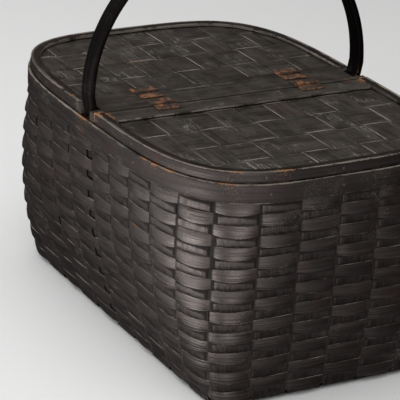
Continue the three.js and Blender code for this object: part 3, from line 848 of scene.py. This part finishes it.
class BASKET_OT_weavers(bpy.types.Operator):
    """Weave the rows of splint round the stakes, each with its ends lapped behind a stake"""

    bl_idname = "basket.weavers"
    bl_label = "Weavers"

    def execute(self, context):
        sizes = context.scene.basket_sizes
        half = sizes.splint_thick / MM / 2
        depth, tall = sizes.weave_depth / MM, sizes.weaver_height / MM
        rng = np.random.default_rng(23)
        for row in range(ROWS):
            grid, shade_paint = self.weaver_grid(row, depth, tall, rng)
            normal = wall(float(self.first_place(row)), 100.0)[1]
            lay("basket", "weaver_splint", f"weaver_splint_{row + 1:02d}", grid, half, rng,
                normal, f"weaver_{row + 1:02d}", crown=0.3, crevice=shade_paint)
        return {"FINISHED"}

    def first_place(self, row):
        return (row * 7 + 17) // 2 * 2 + (1 if row % 2 == 0 else 0)

    def weaver_grid(self, row, depth, tall, rng):
        """Middle surface of one weaver, and the shade painted along it."""
        start = self.first_place(row)
        place = start + 0.03 + np.linspace(0, STAKES + 0.94, 500)
        count = stake_count(place)
        swing = np.sin(math.pi * count) * (-1) ** row
        over = np.clip(swing, 0, 1) ** 0.8
        out = depth * flattened(swing, 0.9)
        run = place - start
        dark = self.end_shade(place, count, swing)
        gap = round_from(WIDE_GAP, place)
        # Odd rows sink into the wide gap and are painted black there: painted shade for the dark
        # inside of the basket.
        if row % 2 == 1:
            out = out - 2.2 * bell(gap / 0.13)
            dark = np.maximum(dark, ease((0.19 - np.abs(gap)) / 0.03))
        # The first end lies behind its stake and the last end over the first.
        out = out - 1.0 * (1 - ease((run - 0.85) / 0.5))
        out = out + 0.35 * ease((run - (STAKES - 0.4)) / 0.5)
        phases = rng.uniform(0, 2 * math.pi, 3)
        drift = sum(
            0.14 * np.sin(2 * math.pi * place / STAKES * k + phase)
            for k, phase in zip((2, 5, 11), phases)
        )
        uneven = rng.uniform(0.75, 1.2, STAKES + 2)
        droop = uneven[np.clip(np.floor(run).astype(int), 0, STAKES + 1)] * over
        u, over, gap = THIN_ACROSS[None], over[:, None], gap[:, None]
        reach = np.where(u < 0, 1.02 + 0.22 * over, 1.02 + 0.02 * over)
        reach = reach + (0.3 if row % 2 == 1 else 0.08) * bell(gap / 0.22)
        edge = WALL_START + (row + 0.5) * ROW_PITCH + u * tall / 2 * reach
        z = edge + drift[:, None] * (1 if 0 < row < ROWS - 1 else 0.3)
        if row > 0:
            z = z - 0.45 * droop[:, None] * np.clip(0.25 - u, 0, 1.25)
        return wall(place[:, None], z, out[:, None] - u * 0.7 * over)[0], dark[:, None]

    def end_shade(self, place, count, swing):
        """Painted shade on a weaver where it dips behind a stake, most where it turns away."""
        part = count % 1
        turns_away = np.where(place % STAKES < LONG_SIDE, part < 0.5, part > 0.5)
        soft = np.where(turns_away, 0.13, 0.02)
        return ease((soft - swing) / soft)


class BASKET_OT_rims(bpy.types.Operator):
    """Bend the outer and inner rim laths round the top, each scarfed to itself"""

    bl_idname = "basket.rims"
    bl_label = "Rims"

    def execute(self, context):
        rng = np.random.default_rng(5)
        for way, start, near, far, side in (
            ("outer", 19.2, *RIM_OUT, 1), ("inner", 2.3, -1.05, -4.05, -1),
        ):
            grid, half = self.rim_grid(start, near, far, side)
            lay("basket", "rim_wood", f"{way}_rim_lath", grid, half, rng, (0, side, 0),
                f"{way}_rim", LATH)
        return {"FINISHED"}

    def rim_grid(self, start, near, far, side):
        """Middle surface and half thickness of a rim lath with tapered ends that overlap."""
        lap = 1.3
        run = np.linspace(0, STAKES + lap, 460)
        place = start + run
        near, far = np.full(len(run), near), np.full(len(run), far)
        thick = far - near
        rising = np.clip(run / lap, 0, 1)
        falling = np.clip((run - STAKES) / lap, 0, 1)
        skin = 0.35 * side
        far = far - thick * (1 - rising) + skin * (1 - rising) * (rising < 1)
        near = near + (thick - skin) * falling
        if side > 0:
            slack = 0.8 * (1 - bell(round_from(4.9, place) / 0.75))
            near, far = near - slack * 0.3, far - slack
        else:
            # The inner rim steps inward round the handle's tails.
            for middle, sign in ((LONG_SIDE / 2, 1), (STAKES / 2 + LONG_SIDE / 2, -1)):
                at = middle + sign * BRIDGE_X / TOP_PITCH
                away = np.abs(round_from(at, place)) * TOP_PITCH
                step = 4.6 * (1 - ease((away - 10) / 6))
                near, far = near - step, far - step
        z = mix(RIM_LOW, RIM_HIGH, (LATH_ACROSS[None] + 1) / 2) + 0 * place[:, None]
        return wall(place[:, None], z, ((near + far) / 2)[:, None])[0], np.abs(far - near) / 2


class BASKET_OT_handle(bpy.types.Operator):
    """Bend the handle: thin tails inside the wall, upright legs and an arch"""

    bl_idname = "basket.handle"
    bl_label = "Handle"

    def execute(self, context):
        (left, _, foot), (right, radius, top) = span("handle")
        spring = top - radius
        tails = [
            (abs(wall(LONG_SIDE / 2, z)[0][1]) - TAIL_OUT, z, TAIL_THICK)
            for z in (foot, 168, RIM_LOW, RIM_HIGH)
        ]
        y = tails.pop()[0]
        legs = np.array(tails + [
            (y, RIM_HIGH + 0.3, TAIL_THICK), (y + 0.8, RIM_HIGH + 4, LEG_THICK),
            (y + 3, RIM_HIGH + 12, LEG_THICK), (radius, spring, LEG_THICK),
        ])
        above = RIM_HIGH + np.array([0.3, 1.5, 2.8, 4, 6, 9, 12, 15, 18.5])
        stations = np.concatenate([np.linspace(foot, RIM_HIGH, 24), above])
        ys, thick = (np.interp(stations, legs[:, 1], legs[:, k]) for k in (0, 2))
        turn = np.linspace(0, math.pi, 72)
        outer = np.concatenate([
            np.stack([-ys, stations], -1),
            np.stack([-radius * np.cos(turn), spring + radius * np.sin(turn)], -1),
            np.stack([ys, stations], -1)[::-1],
        ])
        inward = np.concatenate([
            np.tile([1.0, 0.0], (len(ys), 1)),
            np.stack([np.cos(turn), -np.sin(turn)], -1),
            np.tile([-1.0, 0.0], (len(ys), 1)),
        ])
        thick = np.concatenate([thick, np.full(len(turn), LEG_THICK), thick[::-1]])
        centre = outer + inward * thick[:, None] / 2
        wide = np.interp(centre[:, 1], [foot, foot + 12], [0.8, 1])
        x = BRIDGE_X + (right - left) / 2 * HANDLE[0][None] * wide[:, None]
        y, z = (np.broadcast_to(centre[:, k, None], x.shape) for k in (0, 1))
        lay("basket", "handle_wood", "bent_handle", np.stack([x, y, z], -1), thick / 2,
            np.random.default_rng(3), (0, -1, 0), "handle", HANDLE)
        return {"FINISHED"}


def plate(name, xs, ys, inside, bottom, top, bevel, rng):
    """A board cut to outline on a grid of lines, with its arrises eased."""
    made = bmesh.new()
    corners = {}

    def corner(i, j, z):
        key = (i, j, z)
        if key not in corners:
            corners[key] = made.verts.new((xs[i], ys[j], z))
        return corners[key]

    kept = {
        (i, j)
        for i in range(len(xs) - 1)
        for j in range(len(ys) - 1)
        if inside((xs[i] + xs[i + 1]) / 2, (ys[j] + ys[j + 1]) / 2)
    }
    for i, j in sorted(kept):
        around = [(i, j), (i + 1, j), (i + 1, j + 1), (i, j + 1)]
        made.faces.new([corner(*c, top) for c in around])
        made.faces.new([corner(*c, bottom) for c in around[::-1]])
        beside = ((i, j - 1), (i + 1, j), (i, j + 1), (i - 1, j))
        for a, b, next_cell in zip(around, around[1:] + around[:1], beside):
            if next_cell not in kept:
                face = [corner(*a, bottom), corner(*b, bottom), corner(*b, top), corner(*a, top)]
                made.faces.new(face)
    sharp = [e for e in made.edges if len(e.link_faces) == 2 and e.calc_face_angle() > 0.8]
    bmesh.ops.bevel(made, geom=sharp, offset=bevel, segments=2, affect="EDGES", profile=0.6)
    made.verts.ensure_lookup_table()
    points = np.array([v.co for v in made.verts])
    flat = [
        all(max(abs(c) for c in face.normal) > 0.99 for face in v.link_faces) for v in made.verts
    ]
    faces = [[v.index for v in f.verts] for f in made.faces]
    made.free()
    shift = rng.uniform(0, 3000, 2)
    mesh = bpy.data.meshes.new(name)
    mesh.from_pydata((points * MM).tolist(), [], faces)
    grain = mesh.uv_layers.new(name="Grain")
    for polygon in mesh.polygons:
        upright = abs(polygon.normal[0]) > 0.7
        for loop in polygon.loop_indices:
            x, y, z = points[mesh.loops[loop].vertex_index]
            grain.data[loop].uv = ((y + shift[0]) * MM, ((z if upright else x) + shift[1]) * MM)
    paint(mesh, edge=np.where(flat, 0.0, 1.0), bare=rubbed(points), tone=rng.uniform(-1, 1))
    return add_object(name, mesh, 35)


def lines(low, high, step, *extra):
    """Grid lines from low to high about a step apart, close to both ends and to extra ones."""
    near = [low, high, *extra]
    close = [v + d for v in near for d in (-2.5, 2.5)]
    even = np.linspace(low, high, max(3, int((high - low) / step)))
    even = [v for v in even if min(abs(v - w) for w in near) > 3]
    return sorted(v for v in {*near, *close, *even} if low <= v <= high)


class BASKET_OT_board(bpy.types.Operator):
    """Cut the fixed board that bridges the basket, notched at both ends for the handle"""

    bl_idname = "basket.board"
    bl_label = "Centre board"

    def execute(self, context):
        low, high = span("centre_board")
        notch_left, notch_right = BRIDGE_X - 9.5, BRIDGE_X + 9.5
        notch_end = TOP_HALF[1] - TAIL_OUT - 7.7
        xs = lines(low[0], high[0], 8, notch_left, notch_right)
        ys = lines(low[1], high[1], 6, -notch_end, notch_end)

        def inside(x, y):
            return not (notch_left < x < notch_right and abs(y) > notch_end)

        obj = plate("bridge_board", xs, ys, inside, low[2], high[2], 0.8, np.random.default_rng(8))
        settle(obj, "basket", "board_wood", "centre_board")
        return {"FINISHED"}


LIDS = (("near", 1), ("far", -1))
LID_STARTS = {"near": span("near_lid_rail")[0][0], "far": span("far_lid_rail")[1][0]}
HINGES = [f"{lid}_hinge_{k:02d}" for lid, _ in LIDS for k in (1, 2)]


def lid_places(lid, many):
    """Places round the wall that follow a lid's curved edge, from one leg to the other."""
    first = LONG_SIDE / 2 + (0 if lid == "near" else STAKES / 2)
    delta = abs(LID_STARTS[lid]) / TOP_PITCH
    return np.linspace(first + delta, first + STAKES / 2 - delta, many)


class BASKET_OT_lid_frames(bpy.types.Operator):
    """Bend each lid's hoop and binding, and lay its rail along the hinges"""

    bl_idname = "basket.lid_frames"
    bl_label = "Lid frames"

    def execute(self, context):
        rng = np.random.default_rng(31)
        u = (LATH_ACROSS[None] + 1) / 2
        for lid, side in LIDS:
            body = f"{lid}_lid"
            place = lid_places(lid, 150)[:, None]
            low, high = (c[2] for c in span(f"{body}_outer_hoop"))
            z = mix(low, high, u) + 0 * place
            grid = wall(place, z, -0.55)[0]
            lay(body, "rim_wood", f"{body}_hoop_lath", grid, 1.6, rng, (0, -side, 0),
                f"{body}_outer_hoop", LATH)

            low, high = (c[2] for c in span(f"{body}_binding"))
            grid = wall(place, RIM_HIGH, mix(-2.45, -8.45, u) + 0 * place)[0]
            grid[..., 2] = (low + high) / 2
            lay(body, "rim_wood", f"{body}_binding_lath", grid, (high - low) / 2, rng, (0, 0, 1),
                f"{body}_binding", LATH)

            low, high = span(f"{body}_rail")
            y = np.linspace(low[1], high[1], 60)[:, None]
            x = mix(low[0], high[0], u) + 0 * y
            grid = np.stack([x, y + 0 * x, np.full_like(x, (low[2] + high[2]) / 2)], -1)
            lay(body, "board_wood", f"{body}_rail_slat", grid, (high[2] - low[2]) / 2, rng,
                (0, 0, 1), f"{body}_rail", LATH)
        return {"FINISHED"}


class BASKET_OT_lid_splints(bpy.types.Operator):
    """Interlace the wide splints that fill each lid, cut to its curved edge"""

    bl_idname = "basket.lid_splints"
    bl_label = "Lid splints"

    def execute(self, context):
        gap = context.scene.basket_sizes.lid_gap / MM
        rng = np.random.default_rng(47)
        for lid, side in LIDS:
            self.fill(lid, side, gap, rng)
        return {"FINISHED"}

    def fill(self, lid, side, gap, rng):
        body = f"{lid}_lid"
        a, b = TOP_HALF - 2.9
        n = TOP_SQUARENESS
        start = abs(LID_STARTS[lid]) + 0.4
        low, high = (c[2] for c in span(f"{body}_panel"))
        middle = (low + high) / 2
        first = abs(span(f"{body}_rail")[1 if side > 0 else 0][0]) + 1.0
        pitch = 42.0 if side > 0 else 43.5
        columns = [start, first, *(first + pitch * np.arange(1, 4)), a - 1.5]
        rows = [-b + 0.6, *(-15 + 29.6 * np.arange(-4, 5)), b - 0.6]
        rows = [r for r in rows if abs(r) < b - 0.5 or r in (rows[0], rows[-1])]

        def weave(x, y):
            """+1 where the column is on top, -1 where the row is."""
            cx = np.interp(np.abs(x), columns, np.arange(len(columns)))
            cy = np.interp(y, rows, np.arange(len(rows)))
            return flattened(np.sin(math.pi * cx) * np.sin(math.pi * cy), 5) * side

        def seam_shade(x, knots):
            """Painted shade where a splint comes out from under the one that crosses it."""
            count = np.interp(x, knots, np.arange(len(knots)))
            return 0.9 * ease((0.17 - np.abs(np.sin(math.pi * count))) / 0.13)

        def reach(x, along, across):
            """How far the lid's outline is out at x, a distance along its other axis."""
            return across * (1 - np.clip(np.abs(x) / along, 0, 0.9999) ** n) ** (1 / n)

        def strip(way, k, x, y, z, dark):
            grid = np.stack([side * x + 0 * y, y + 0 * x, z], -1)
            lay(body, "lid_splint", f"{body}_{way}_{k:02d}", grid, LID_HALF, rng, (0, 0, 1),
                f"{body}_panel", crevice=dark)

        share = (THIN_ACROSS + 1) / 2
        for k, (y0, y1) in enumerate(zip(rows, rows[1:])):
            y = mix(y0 + gap / 2, y1 - gap / 2, share)[None] + 0.5 * rng.uniform(-1, 1)
            y = np.clip(y, -b + 0.4, b - 0.4)
            t = np.linspace(0, 1, 72)[:, None]
            x = mix(start, np.maximum(reach(y, b, a), start + 3), t)
            strip("row", k + 1, x, y, middle - LID_SWING * weave(x, y), seam_shade(x, columns))
        for k, (x0, x1) in enumerate(zip(columns, columns[1:])):
            x = mix(x0 + gap / 2, x1 - gap / 2, share)[None]
            y = reach(x, a, b) * np.linspace(-1, 1, 110)[:, None]
            strip("column", k + 1, x, y, middle + LID_SWING * weave(x, y), seam_shade(y, rows))


class BASKET_OT_hinges(bpy.types.Operator):
    """Finish the iron leaves and pins of the four butt hinges"""

    bl_idname = "basket.hinges"
    bl_label = "Hinges"

    def execute(self, context):
        leaf = rusted_iron("Rusted hinge iron")
        pin = rusted_iron("Worn pin iron", 1.3, (0.4, 0.6))
        for hinge in HINGES:
            for part, material in (("board_leaf", leaf), ("lid_leaf", leaf), ("pin", pin)):
                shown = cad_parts[f"{hinge}_{part}"]
                shown.data.materials.clear()
                shown.data.materials.append(material)
                weld = shown.modifiers.new("Weld", "WELD")
                weld.merge_threshold = 0.00001
                eased = shown.modifiers.new("Eased edges", "BEVEL")
                eased.width, eased.segments = 0.00025, 2
                eased.limit_method, eased.angle_limit = "ANGLE", math.radians(50)
        return {"FINISHED"}


class BASKET_OT_nails(bpy.types.Operator):
    """Drive the small nails that hold the rims, lid hoops and hinge leaves"""

    bl_idname = "basket.nails"
    bl_label = "Nails"

    def execute(self, context):
        rim = [wall(place, 205.0, RIM_OUT[1] - 0.9) for place in RIM_NAILS]
        self.drive("rim_nails", rim, "basket")
        board = []
        for lid, side in LIDS:
            heads = []
            places = lid_places(lid, 9)
            for place in (*places[1:-1], places[0] + 0.15, places[-1] - 0.15):
                point, normal = wall(place, 214.0, 1.05)
                point[2] = 219.5
                heads.append((point, normal))
            for hinge in (h for h in HINGES if h.startswith(lid)):
                heads += self.leaf_heads(f"{hinge}_lid_leaf", side)
                board += self.leaf_heads(f"{hinge}_board_leaf", -side)
            self.drive(f"{lid}_lid_nails", heads, f"{lid}_lid")
        self.drive("board_nails", board, "basket")
        return {"FINISHED"}

    def leaf_heads(self, leaf, side):
        """Two nail heads on the flat of a hinge leaf, on its side of the pin."""
        low, high = span(leaf)
        x = high[0] - 3.6 if side > 0 else low[0] + 3.6
        top, up = RIM_HIGH + 10.6, np.array([0.0, 0.0, 1.0])
        return [(np.array([x, mix(low[1], high[1], t), top]), up) for t in (0.2, 0.8)]

    def drive(self, name, heads, body):
        """One object with a domed head and a short shank at each place."""
        made = bmesh.new()
        for point, normal in heads:
            turn = Vector(normal).normalized().to_track_quat("Z", "Y").to_matrix()

            def ring(r, h):
                """The points round a nail at one height, or the one on its axis."""
                angles = [k * math.tau / NAIL_SIDES for k in range(NAIL_SIDES if r else 1)]
                around = [Vector((r * math.cos(t), r * math.sin(t), h)) for t in angles]
                return [made.verts.new(turn @ v + Vector(point)) for v in around]

            rings = [ring(r, h) for r, h in NAIL_PROFILE]
            for upper, lower in zip(rings, rings[1:]):
                for k in range(NAIL_SIDES):
                    a, b = upper[k % len(upper)], upper[(k + 1) % len(upper)]
                    c, d = lower[(k + 1) % len(lower)], lower[k % len(lower)]
                    made.faces.new(list(dict.fromkeys([d, c, b, a])))
        bmesh.ops.recalc_face_normals(made, faces=made.faces)
        bmesh.ops.scale(made, vec=(MM, MM, MM), verts=made.verts)
        mesh = bpy.data.meshes.new(name)
        made.to_mesh(mesh)
        made.free()
        settle(add_object(name, mesh, 50), body, "rusted_steel")


def toward(turn, height):
    """The way out to a place, by its angles round the basket and above the floor."""
    flat = math.cos(height)
    return Vector((math.sin(turn) * flat, -math.cos(turn) * flat, math.sin(height)))


class BASKET_OT_stage(bpy.types.Operator):
    """Lay the pale floor, hang the lights and set the camera"""

    bl_idname = "basket.stage"
    bl_label = "Stage"

    def execute(self, context):
        stage = context.scene.basket_stage
        self.floor(stage)
        self.sky(stage)
        self.lights(stage)
        self.camera(stage)
        context.scene.view_settings.view_transform = "Standard"
        return {"FINISHED"}

    def floor(self, stage):
        mesh = bpy.data.meshes.new("floor")
        made = bmesh.new()
        bmesh.ops.create_grid(made, x_segments=8, y_segments=8, size=9)
        made.to_mesh(mesh)
        made.free()
        floor = bpy.data.objects.new("floor", mesh)
        floor.location = (0, 0, -0.0002)
        bpy.context.scene.collection.objects.link(floor)
        material, tree, shader = new_material("Pale floor")
        cloud = noise(tree, own_place(tree), 1.5)
        colour, shade = rgba(stage.floor_colour), rgba(stage.floor_colour, 0.985)
        tree.links.new(blend(tree, cloud, colour, shade), shader.inputs["Base Color"])
        shader.inputs["Roughness"].default_value = 0.75
        shader.inputs["Specular IOR Level"].default_value = 0.2
        mesh.materials.append(material)
        floor.visible_glossy = False

    def sky(self, stage):
        """Even light, which the finishes reflect less of than they are lit by."""
        world = bpy.data.worlds.new("Sky")
        bpy.context.scene.world = world
        world.use_nodes = True
        tree = world.node_tree
        background = tree.nodes["Background"]
        background.inputs[0].default_value = (1, 0.995, 0.985, 1)
        glossy = tree.nodes.new("ShaderNodeLightPath").outputs["Is Glossy Ray"]
        drop = times(tree, glossy, stage.sky - stage.reflected_sky)
        tree.links.new(minus(tree, stage.sky, drop), background.inputs[1])

    def lights(self, stage):
        """Three broad lights, and three small low ones that only show as sheen."""
        key, fill, middle = stage.key_power, stage.fill_power, (0, 0, 0.12)
        for name, turn, height, away, size, power, around in (
            ("Key sheen", -32, 2, 0.6, (0.3, 0.24), key, (0.1, -0.14, 0.09)),
            ("Low sheen", 8, -6, 0.42, (0.35, 0.1), key * 4.4, (0.17, -0.12, 0.09)),
            ("Side sheen", 76, 4, 0.8, (0.3, 0.3), key * 6.8, (0.2, -0.08, 0.1)),
            ("Left key", -42, 34, 2.4, (1.4, 1.4), fill * 1.45, middle),
            ("Key", 50, 35, 2.2, (1.4, 1.4), fill, middle),
            ("Overhead", 30, 76, 2.4, (2.6, 2.6), stage.overhead_power, middle),
        ):
            light = bpy.data.lights.new(name, "AREA")
            light.shape, light.energy = "RECTANGLE", power
            light.size, light.size_y = size
            direction = toward(math.radians(turn), math.radians(height))
            obj = bpy.data.objects.new(name, light)
            obj.location = Vector(around) + direction * away
            obj.rotation_euler = direction.to_track_quat("Z", "Y").to_euler()
            obj.visible_camera = False
            obj.visible_diffuse = not name.endswith("sheen")
            bpy.context.scene.collection.objects.link(obj)

    def camera(self, stage):
        back = toward(stage.camera_turn, stage.camera_height)
        right = (-back).cross(Vector((0, 0, 1))).normalized()
        up = right.cross(-back)
        lean = stage.camera_roll
        across = right * math.cos(lean) + up * math.sin(lean)
        above = up * math.cos(lean) - right * math.sin(lean)
        target = Vector((0.16207, -0.11314, 0.188))
        data = bpy.data.cameras.new("Camera")
        data.sensor_width, data.lens, data.clip_end = 36, stage.camera_lens, 60
        camera = bpy.data.objects.new("Camera", data)
        turned = Matrix((across, above, back)).transposed().to_4x4()
        camera.matrix_world = Matrix.Translation(target + back * stage.camera_away) @ turned
        bpy.context.scene.collection.objects.link(camera)
        bpy.context.scene.camera = camera


class BASKET_PT_panel(bpy.types.Panel):
    """Everything the basket is built from, in the order it is made"""

    bl_idname = "BASKET_PT_panel"
    bl_label = "Splint picnic basket"
    bl_space_type = "VIEW_3D"
    bl_region_type = "UI"
    bl_category = "Basket"

    def draw(self, context):
        scene, layout = context.scene, self.layout
        groups = (scene.basket_sizes, scene.basket_finish, scene.basket_stage)
        for title, group in zip(("Sizes", "Finish", "Stage"), groups):
            box = layout.box()
            box.label(text=title)
            for key in group.__annotations__:
                box.prop(group, key)
        for operator in OPERATORS:
            layout.operator(operator.bl_idname)


GROUPS = (BasketSizes, BasketFinish, BasketStage)
OPERATORS = (
    BASKET_OT_stakes, BASKET_OT_weavers, BASKET_OT_rims, BASKET_OT_handle, BASKET_OT_board,
    BASKET_OT_lid_frames, BASKET_OT_lid_splints, BASKET_OT_hinges, BASKET_OT_nails, BASKET_OT_stage,
)


def register():
    for made in (*GROUPS, *OPERATORS, BASKET_PT_panel):
        bpy.utils.register_class(made)
    bpy.types.Scene.basket_sizes = PointerProperty(type=BasketSizes)
    bpy.types.Scene.basket_finish = PointerProperty(type=BasketFinish)
    bpy.types.Scene.basket_stage = PointerProperty(type=BasketStage)


def unregister():
    for key in ("basket_sizes", "basket_finish", "basket_stage"):
        delattr(bpy.types.Scene, key)
    for made in reversed((*GROUPS, *OPERATORS, BASKET_PT_panel)):
        bpy.utils.unregister_class(made)


def main():
    register()
    bpy.ops.basket.stakes()
    bpy.ops.basket.weavers()
    bpy.ops.basket.rims()
    bpy.ops.basket.handle()
    bpy.ops.basket.board()
    bpy.ops.basket.lid_frames()
    bpy.ops.basket.lid_splints()
    bpy.ops.basket.hinges()
    bpy.ops.basket.nails()
    bpy.ops.basket.stage()


if __name__ == "__main__":
    main()
